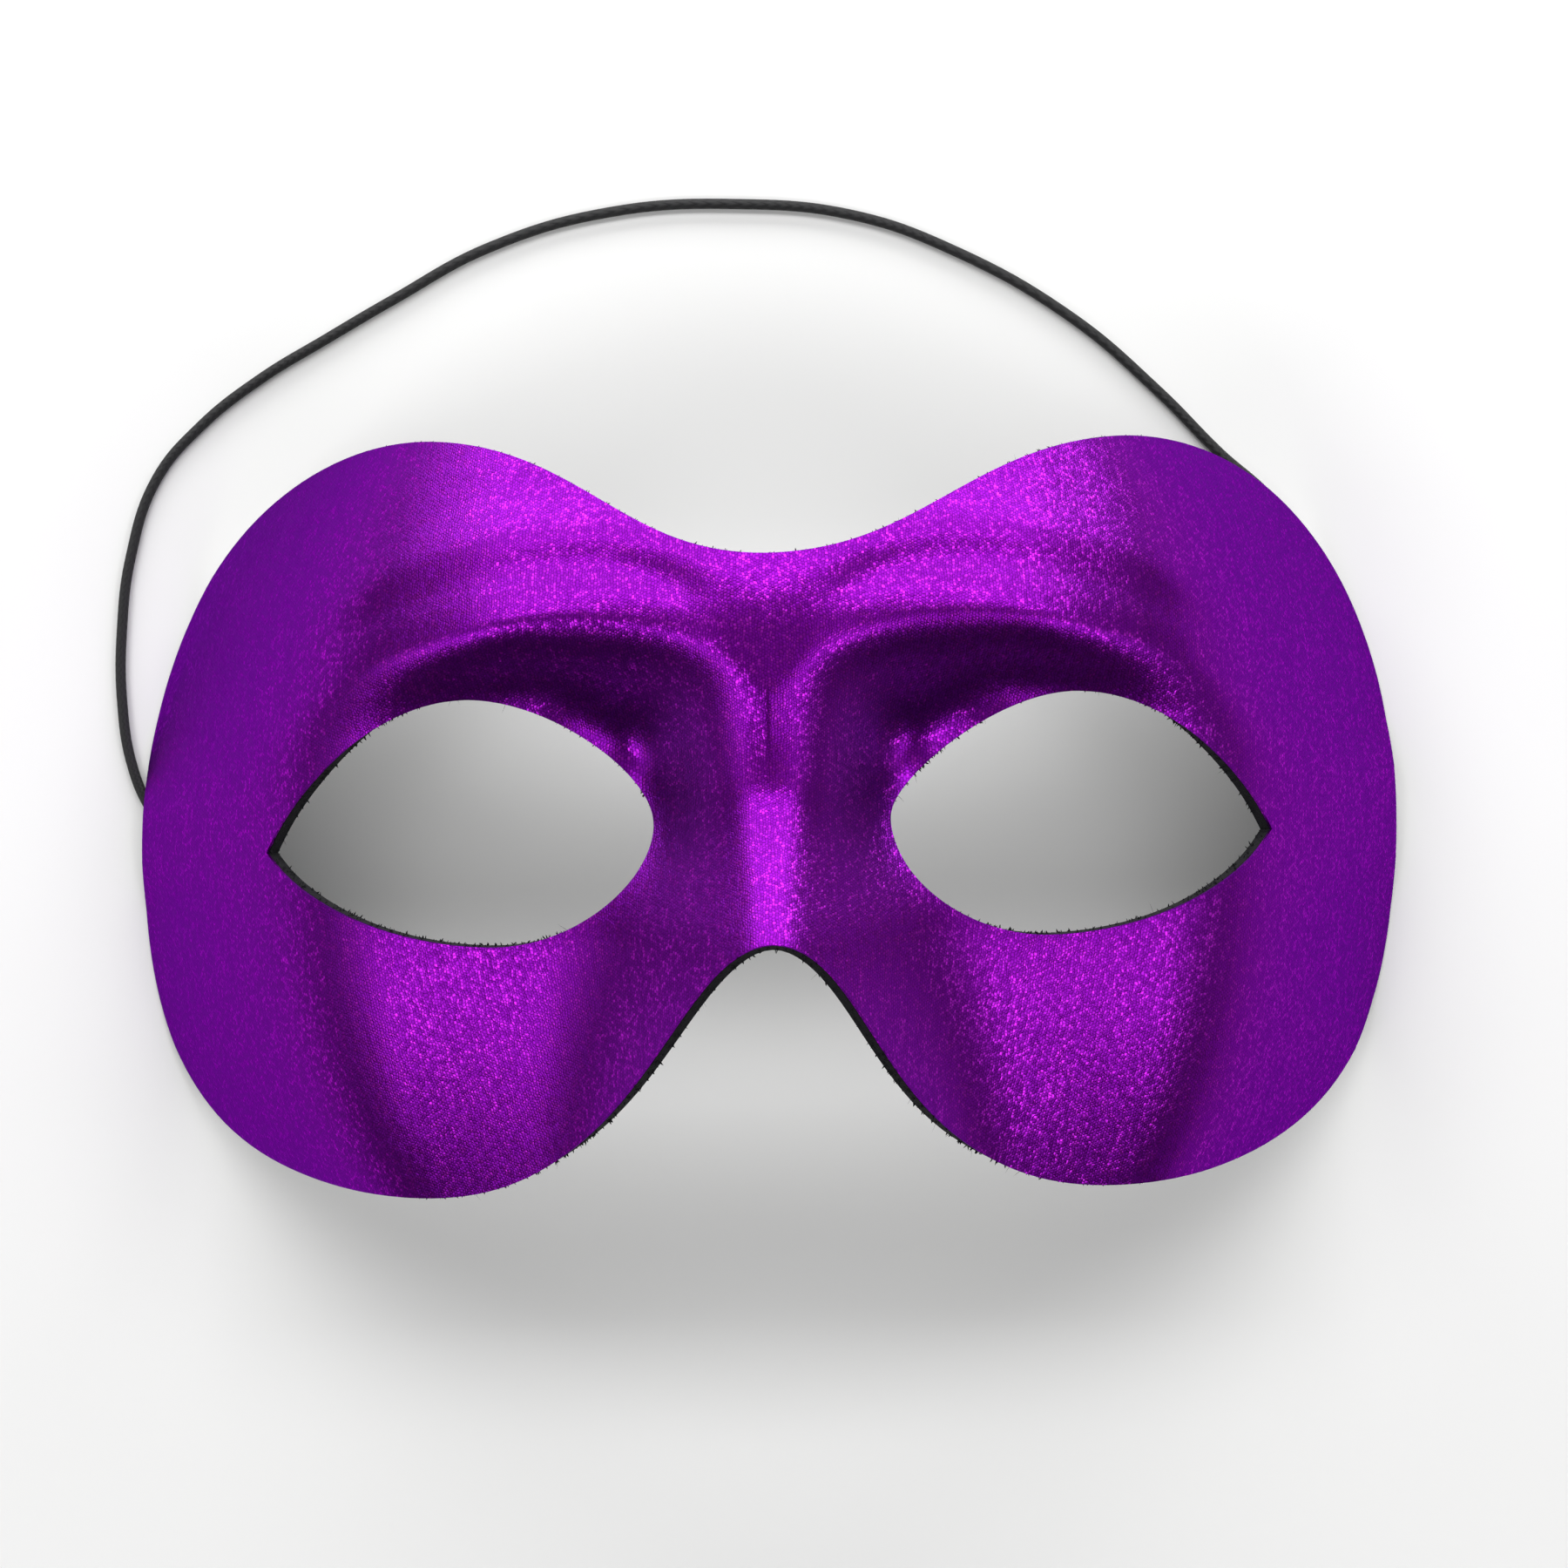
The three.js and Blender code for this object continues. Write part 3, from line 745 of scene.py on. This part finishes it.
def new_material(name):
    """A material with its tree and its Principled shader."""
    material = bpy.data.materials.new(name)
    material.use_nodes = True
    return material, material.node_tree, material.node_tree.nodes["Principled BSDF"]


def bump(tree, shader, height):
    """Feeds a height in metres to the shader as a bump."""
    relief = tree.nodes.new("ShaderNodeBump")
    relief.inputs["Distance"].default_value = WHOLE_METRE
    tree.links.new(height, relief.inputs["Height"])
    tree.links.new(relief.outputs["Normal"], shader.inputs["Normal"])


def off_centre(tree, place, whole):
    """How far a place is from the middle of its cell, from minus a half to a half."""
    return number(tree, "SUBTRACT", number(tree, "SUBTRACT", place, whole), HALF)


def bead(tree, offset):
    """One in the middle of the cell, rounded down to nought at its edges."""
    square = number(tree, "MULTIPLY", offset, offset)
    return number(tree, "SUBTRACT", 1.0, number(tree, "MULTIPLY", square, BEAD_FALL))


# %% [markdown]
# The knit is a node group. It divides the flat map into columns and rows of stitches,
# with every second column half a stitch higher, and lets the rows wander a little as real
# yarn does. Each stitch is a small round bead that leans its own way, so now and then one
# of them catches the light as a bright dot.

# %% Node group for the knit: its inputs and outputs
knit = bpy.data.node_groups.new("foil_knit", "ShaderNodeTree")
for name, kind, way in (
    ("Cloth Map", "NodeSocketVector", "INPUT"),
    ("Column Width", "NodeSocketFloat", "INPUT"),
    ("Row Height", "NodeSocketFloat", "INPUT"),
    ("Stitch Relief", "NodeSocketFloat", "INPUT"),
    ("Stitch Lean", "NodeSocketFloat", "INPUT"),
    ("Wander", "NodeSocketFloat", "INPUT"),
    ("Relief", "NodeSocketFloat", "OUTPUT"),
    ("Stitch", "NodeSocketFloat", "OUTPUT"),
    ("Chance", "NodeSocketFloat", "OUTPUT"),
):
    knit.interface.new_socket(name, in_out=way, socket_type=kind)
knit_in = knit.nodes.new("NodeGroupInput").outputs
knit_out = knit.nodes.new("NodeGroupOutput").inputs
print("the knit group takes in", len(knit_in) - 1, "things and gives out", len(knit_out) - 1)

# %% Node group for the knit: let the flat map wander
WANDER_SCALE = 650
WANDER_DETAIL = 1.0
wander = knit.nodes.new("ShaderNodeTexNoise")
wander.inputs["Scale"].default_value = WANDER_SCALE
wander.inputs["Detail"].default_value = WANDER_DETAIL
knit.links.new(knit_in["Cloth Map"], wander.inputs["Vector"])
centred = knit.nodes.new("ShaderNodeVectorMath")
centred.operation = "SUBTRACT"
knit.links.new(wander.outputs["Color"], centred.inputs[0])
centred.inputs[1].default_value = (HALF, HALF, HALF)
drifted = knit.nodes.new("ShaderNodeVectorMath")
drifted.operation = "SCALE"
knit.links.new(centred.outputs[0], drifted.inputs[0])
knit.links.new(knit_in["Wander"], drifted.inputs["Scale"])
moved_map = knit.nodes.new("ShaderNodeVectorMath")
moved_map.operation = "ADD"
knit.links.new(knit_in["Cloth Map"], moved_map.inputs[0])
knit.links.new(drifted.outputs[0], moved_map.inputs[1])

# %% Node group for the knit: columns and rows
map_parts = knit.nodes.new("ShaderNodeSeparateXYZ")
knit.links.new(moved_map.outputs[0], map_parts.inputs[0])
across = number(knit, "DIVIDE", map_parts.outputs["X"], knit_in["Column Width"])
upward = number(knit, "DIVIDE", map_parts.outputs["Y"], knit_in["Row Height"])
column = number(knit, "FLOOR", across)
every_second = number(knit, "MULTIPLY", number(knit, "PINGPONG", column, 1.0), HALF)
upward = number(knit, "ADD", upward, every_second)
row = number(knit, "FLOOR", upward)
from_left = off_centre(knit, across, column)
from_foot = off_centre(knit, upward, row)

# %% Node group for the knit: a chance of its own for each stitch
stitch_name = knit.nodes.new("ShaderNodeCombineXYZ")
knit.links.new(column, stitch_name.inputs["X"])
knit.links.new(row, stitch_name.inputs["Y"])
luck = knit.nodes.new("ShaderNodeTexWhiteNoise")
knit.links.new(stitch_name.outputs[0], luck.inputs["Vector"])
lucks = knit.nodes.new("ShaderNodeSeparateColor")
knit.links.new(luck.outputs["Color"], lucks.inputs[0])

# %% Node group for the knit: the form of a stitch


def lean(offset, chance):
    """A slope of its own for one stitch."""
    return number(knit, "MULTIPLY", offset, number(knit, "SUBTRACT", chance, HALF))


stitch = number(knit, "MULTIPLY", bead(knit, from_left), bead(knit, from_foot))
tilt = number(
    knit,
    "ADD",
    lean(from_left, lucks.outputs["Red"]),
    lean(from_foot, lucks.outputs["Green"]),
)
raised = number(knit, "MULTIPLY", stitch, knit_in["Stitch Relief"])
leaning = number(knit, "MULTIPLY", tilt, knit_in["Stitch Lean"])
knit.links.new(number(knit, "ADD", raised, leaning), knit_out["Relief"])
knit.links.new(stitch, knit_out["Stitch"])
knit.links.new(luck.outputs["Value"], knit_out["Chance"])
print("knit group has", len(knit.nodes), "nodes")

# %% [markdown]
# The foil is a purple metal: a metallic surface tints its own reflections, so the colour
# comes alive in the light and is nearly black where there is nothing bright to reflect.
# The tint is kept at grazing angles too, where a bare metal would turn white, because the
# foil lies under a dyed coat. Between the stitches the dyed knit shows, which is darker.
# A few stitches are brighter than the rest by chance, in streaks that run up the columns.
# Where the cloth is seen aslant, a paler purple is painted over it: painted sheen in place
# of the paler reflection at grazing angles.

# %% Foil cloth material: place the knit on the flat map
KNIT_SIZES = {
    "Column Width": 0.38 * MM,
    "Row Height": 0.46 * MM,
    "Stitch Relief": 0.012 * MM,
    "Stitch Lean": 0.045 * MM,
    "Wander": 0.8 * MM,
}
foil_material, tree, shader = new_material("foil_cloth")
cloth_map = tree.nodes.new("ShaderNodeUVMap")
cloth_map.uv_map = "cloth_map"
knitted = tree.nodes.new("ShaderNodeGroup")
knitted.node_tree = knit
tree.links.new(cloth_map.outputs["UV"], knitted.inputs["Cloth Map"])
for name, size in KNIT_SIZES.items():
    knitted.inputs[name].default_value = size

# %% Foil cloth material: colour
FOIL_PURPLE = (0.175, 0.003, 0.33, 1)
FOIL_BRIGHT = (0.82, 0.03, 1.0, 1)
FOIL_EDGE = (0.40, 0.12, 0.60, 1)
# The next colour is painted sheen, for where the cloth is seen aslant.
PAINTED_GRAZING_SHEEN = (0.205, 0.065, 0.36, 1)
KNIT_PURPLE = (0.09, 0.002, 0.16, 1)
SPARK_RARITY = 4.0
SPARK_LEAST = 0.10
STREAK_SCALE = 900
STREAK_DETAIL = 2.0
STREAK_STRETCH = (1, 0.06, 1)
STITCH_SPREAD = 0.6
flat_place = cloth_map.outputs["UV"]
chance = knitted.outputs["Chance"]
streaks = speckle(tree, flat_place, STREAK_SCALE, STREAK_DETAIL, STREAK_STRETCH)
sparks = number(tree, "POWER", chance, SPARK_RARITY)
lively = number(tree, "MULTIPLY", number(tree, "ADD", sparks, SPARK_LEAST), streaks)
foil_colour = blend(tree, lively, FOIL_PURPLE, FOIL_BRIGHT)
shown = number(tree, "POWER", knitted.outputs["Stitch"], STITCH_SPREAD)
cloth_colour = blend(tree, shown, KNIT_PURPLE, foil_colour)
# Seen aslant, the colour is blended to a paler purple: painted sheen.
facing = tree.nodes.new("ShaderNodeLayerWeight").outputs["Facing"]
painted_sheen_share = number(tree, "MULTIPLY", facing, facing)
feed(tree, shader.inputs["Base Color"], blend(tree, painted_sheen_share, cloth_colour, PAINTED_GRAZING_SHEEN))

# %% Foil cloth material: gloss and relief
FOIL_ROUGHNESS = 0.32
DULL_STITCH_ROUGHER = 0.08
shader.inputs["Metallic"].default_value = 1.0
shader.inputs["Specular Tint"].default_value = FOIL_EDGE
dullness = number(tree, "SUBTRACT", 1.0, chance)
rough = number(tree, "MULTIPLY", dullness, DULL_STITCH_ROUGHER)
feed(tree, shader.inputs["Roughness"], number(tree, "ADD", rough, FOIL_ROUGHNESS))
bump(tree, shader, knitted.outputs["Relief"])
foil_cloth.data.materials.append(foil_material)
print("foil material has", len(tree.nodes), "nodes")

# %% [markdown]
# Felt scatters light in all directions and is a little lighter seen along its surface,
# where loose fibres stand up. That is a rough, black, slightly sheeny surface.

# %% Felt material
FELT_DARK = (0.007, 0.007, 0.009, 1)
FELT_LIGHT = (0.012, 0.012, 0.014, 1)
FIBRE_SCALE = 3500
FIBRE_DETAIL = 3.0
CLUMP_SCALE = 700
FUZZ_RELIEF = 0.12 * MM
FELT_ROUGHNESS = 0.95
FELT_SHEEN = 0.04
FELT_SHINE = 0.15
felt_material, tree, shader = new_material("black_felt")
here = tree.nodes.new("ShaderNodeTexCoord").outputs["Object"]
fibres = speckle(tree, here, FIBRE_SCALE, FIBRE_DETAIL)
clumps = speckle(tree, here, CLUMP_SCALE)
feed(tree, shader.inputs["Base Color"], blend(tree, fibres, FELT_DARK, FELT_LIGHT))
shader.inputs["Roughness"].default_value = FELT_ROUGHNESS
shader.inputs["Sheen Weight"].default_value = FELT_SHEEN
shader.inputs["Specular IOR Level"].default_value = FELT_SHINE
fuzz = number(tree, "MULTIPLY", number(tree, "ADD", fibres, clumps), FUZZ_RELIEF)
bump(tree, shader, fuzz)
for name in ("felt_lining", "left_patch", "right_patch"):
    bpy.data.objects[name].data.materials.append(felt_material)
print("felt material has", len(tree.nodes), "nodes")

# %% [markdown]
# The elastic's cover is braided: two families of yarns wind round it, one to the left and
# one to the right, and pass over and under each other. The curve's own map runs along the
# cord in one direction and round it in the other, which is all that the braid needs.

# %% Elastic material: the two families of yarns
BRAID_PITCH = 1.1 * MM
BRAID_STARTS = 6
elastic_material, tree, shader = new_material("black_elastic")
cord_map = tree.nodes.new("ShaderNodeTexCoord").outputs["UV"]
cord_parts = tree.nodes.new("ShaderNodeSeparateXYZ")
tree.links.new(cord_map, cord_parts.inputs[0])
along = number(tree, "MULTIPLY", cord_parts.outputs["X"], CORD_LENGTH / BRAID_PITCH)
round_it = number(tree, "MULTIPLY", cord_parts.outputs["Y"], BRAID_STARTS)


def yarn(operation):
    """Number of the yarn and its rounded height, for one family of yarns."""
    place = number(tree, operation, along, round_it)
    whole = number(tree, "FLOOR", place)
    return whole, bead(tree, off_centre(tree, place, whole))


left_count, left_height = yarn("SUBTRACT")
right_count, right_height = yarn("ADD")

# %% Elastic material: yarns over and under each other
# The darker of the two cord colours is painted shade, for the grooves between the yarns.
CORD_GROOVE_SHADE = (0.004, 0.004, 0.005, 1)
CORD_LIGHT = (0.010, 0.010, 0.011, 1)
YARN_RELIEF = 0.06 * MM
CORD_ROUGHNESS = 0.70
CORD_SHEEN = 0.03
counted = number(tree, "ADD", left_count, right_count)
over = number(tree, "PINGPONG", counted, 1.0)
under = number(tree, "SUBTRACT", 1.0, over)
woven = number(
    tree,
    "ADD",
    number(tree, "MULTIPLY", left_height, over),
    number(tree, "MULTIPLY", right_height, under),
)
# The colour is darker down between the yarns than on their tops: painted shade in the grooves of
# the braid.
feed(tree, shader.inputs["Base Color"], blend(tree, woven, CORD_GROOVE_SHADE, CORD_LIGHT))
shader.inputs["Roughness"].default_value = CORD_ROUGHNESS
shader.inputs["Sheen Weight"].default_value = CORD_SHEEN
bump(tree, shader, number(tree, "MULTIPLY", woven, YARN_RELIEF))
cord_curve.materials.append(elastic_material)
print("elastic material has", len(tree.nodes), "nodes")

# %% [markdown]
# The mask lies on a plain pale table top. It is a stage, not part of the object. It is
# matt, so that it takes soft shadows and shows no reflections.

# %% Table top
TABLE_SIZE = 4
TABLE_LIGHT = (0.86, 0.86, 0.855, 1)
TABLE_SHADE = (0.84, 0.84, 0.835, 1)
SHADE_SCALE = 14
SHADE_DETAIL = 3.0
TABLE_ROUGHNESS = 0.85
TABLE_SHINE = 0.2
bpy.ops.object.select_all(action="DESELECT")
bpy.ops.mesh.primitive_plane_add(size=TABLE_SIZE, location=(0, 0, 0))
table_top = bpy.context.object
table_top.name = "table_top"
table_material, tree, shader = new_material("table_paper")
here = tree.nodes.new("ShaderNodeTexCoord").outputs["Object"]
shaded = speckle(tree, here, SHADE_SCALE, SHADE_DETAIL)
feed(tree, shader.inputs["Base Color"], blend(tree, shaded, TABLE_LIGHT, TABLE_SHADE))
shader.inputs["Roughness"].default_value = TABLE_ROUGHNESS
shader.inputs["Specular IOR Level"].default_value = TABLE_SHINE
table_top.data.materials.append(table_material)
print("table top is", TABLE_SIZE, "metres wide")

# %% [markdown]
# The light is a studio's. A long window-like strip stands above and behind the mask and
# lays the soft shadow below the cheeks, and a lower one behind it reaches under the brow.
# Smaller boxes in front, at the sides and overhead put the bright bands on the cheeks and
# the bridge. The room itself is dim, so the eye sockets stay dark, but the camera sees a
# pale backdrop.

# %% Soft boxes: place and size in metres, and how bright each one looks
LAMP_AIM = (0, 0, 0.03)
SOFT_BOXES = {
    "key": {"place": (0, 0.73, 1.08), "size": (2.2, 0.34), "radiance": 5.6},
    "low_back": {"place": (0, 1.21, 0.46), "size": (2.4, 0.46), "radiance": 6.4},
    "overhead": {"place": (0, 0, 1.33), "size": (0.8, 0.50), "radiance": 0.4},
    "front_left": {"place": (-0.71, -0.50, 1.00), "size": (0.46, 0.42), "radiance": 5.2},
    "front_right": {"place": (0.71, -0.50, 1.00), "size": (0.46, 0.42), "radiance": 4.8},
    "side_left": {"place": (-0.92, -0.05, 0.95), "size": (0.50, 0.45), "radiance": 1.3},
    "side_right": {"place": (0.92, -0.05, 0.95), "size": (0.50, 0.45), "radiance": 1.4},
    "low_left": {"place": (-1.15, -0.15, 0.56), "size": (0.70, 0.36), "radiance": 0.9},
    "low_right": {"place": (1.15, -0.15, 0.56), "size": (0.70, 0.36), "radiance": 0.9},
}


def soft_box(name, place, size, radiance):
    """A lamp that faces the mask, as bright all over as its radiance says."""
    bpy.ops.object.light_add(type="AREA", location=place)
    lamp = bpy.context.object
    lamp.name = name
    lamp.data.shape = "RECTANGLE"
    lamp.data.size = size[0]
    lamp.data.size_y = size[1]
    lamp.data.energy = radiance * math.pi * size[0] * size[1]
    way = Vector(LAMP_AIM) - Vector(place)
    lamp.rotation_euler = way.to_track_quat("-Z", "Y").to_euler()


for name, box in SOFT_BOXES.items():
    soft_box(name, **box)
bpy.context.scene.view_settings.view_transform = "Standard"
print("soft boxes:", len(SOFT_BOXES))

# %% The dim room and its pale backdrop
ROOM_COLOUR = (0.9, 0.9, 0.9, 1)
ROOM_GLOW = 0.015
BACKDROP_GLOW = 0.985
world = bpy.data.worlds.new("studio")
bpy.context.scene.world = world
world.use_nodes = True
sky = world.node_tree.nodes["Background"]
sky.inputs["Color"].default_value = ROOM_COLOUR
seen = world.node_tree.nodes.new("ShaderNodeLightPath").outputs["Is Camera Ray"]
glow = number(world.node_tree, "MULTIPLY", seen, BACKDROP_GLOW)
glow = number(world.node_tree, "ADD", glow, ROOM_GLOW)
world.node_tree.links.new(glow, sky.inputs["Strength"])
print("glow of the room and of what the camera sees:", ROOM_GLOW, BACKDROP_GLOW + ROOM_GLOW)
